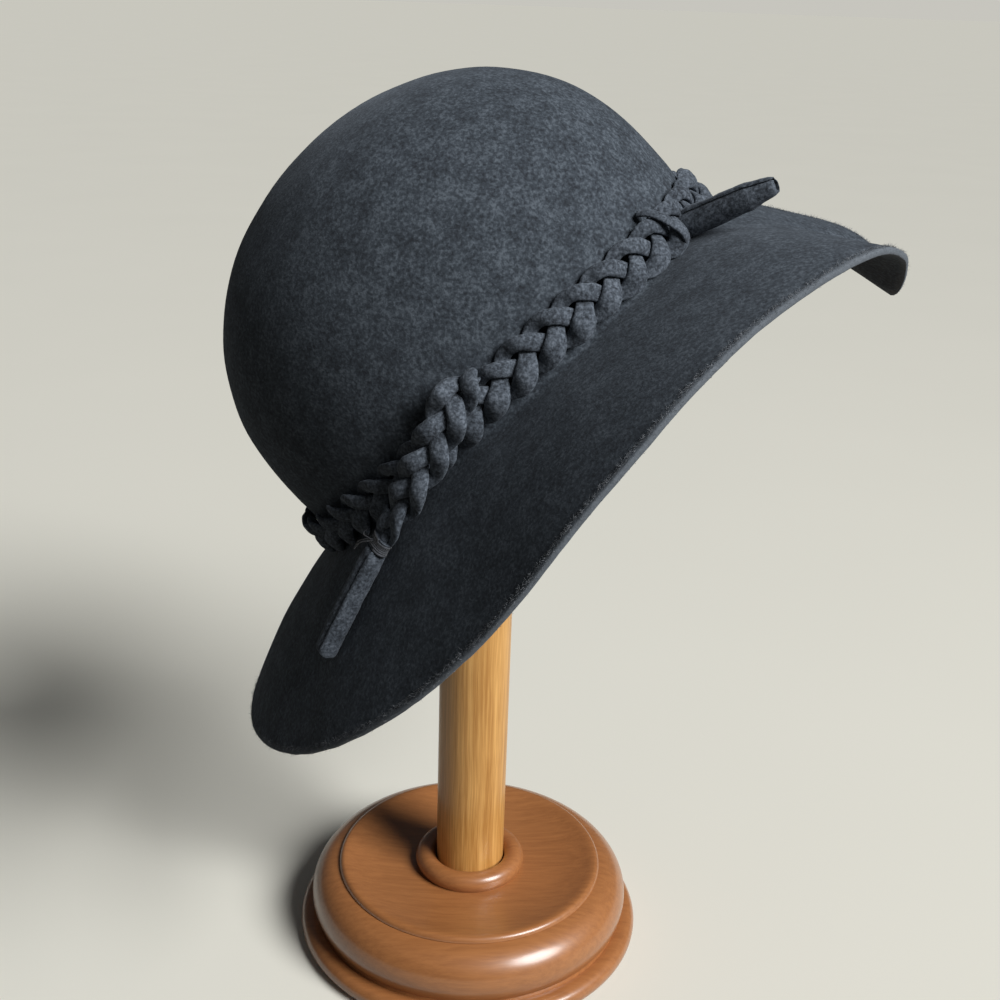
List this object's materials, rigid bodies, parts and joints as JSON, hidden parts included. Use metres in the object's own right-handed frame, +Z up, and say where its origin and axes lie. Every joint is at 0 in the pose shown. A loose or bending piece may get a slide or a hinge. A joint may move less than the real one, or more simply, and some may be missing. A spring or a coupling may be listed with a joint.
{
  "type": "open-crown felt fedora on a turned wooden hat stand",
  "caption": "Charcoal wool-felt hat with a round open crown, snapped-down front brim and braided felt band, resting tilted on a turned wooden stand.",
  "frame": {"origin": "middle of the stand base's flat underside, on the post's axis", "axes": "+Z up along the post, +X towards the hat's front, +Y towards the wearer's left side"},
  "size_m": [0.2713, 0.292, 0.3964],
  "materials": {
    "hat_felt": "charcoal heather wool felt",
    "strip_felt": "cut strips of the same wool felt",
    "thread": "wound grey thread",
    "base_wood": "red-brown varnish, glossy",
    "post_wood": "clear varnish, satin"
  },
  "bodies": {
    "root": {"felt_body": "hat_felt", "band_strand_1": "strip_felt", "band_strand_2": "strip_felt", "band_strand_3": "strip_felt", "tail_strand_1": "strip_felt", "tail_strand_2": "strip_felt", "tail_strand_3": "strip_felt", "tail_binding": "thread", "rear_roll": "strip_felt", "front_roll": "strip_felt", "stand_base": "base_wood", "stand_post": "post_wood", "stand_top": "base_wood"}
  },
  "joints": []
}
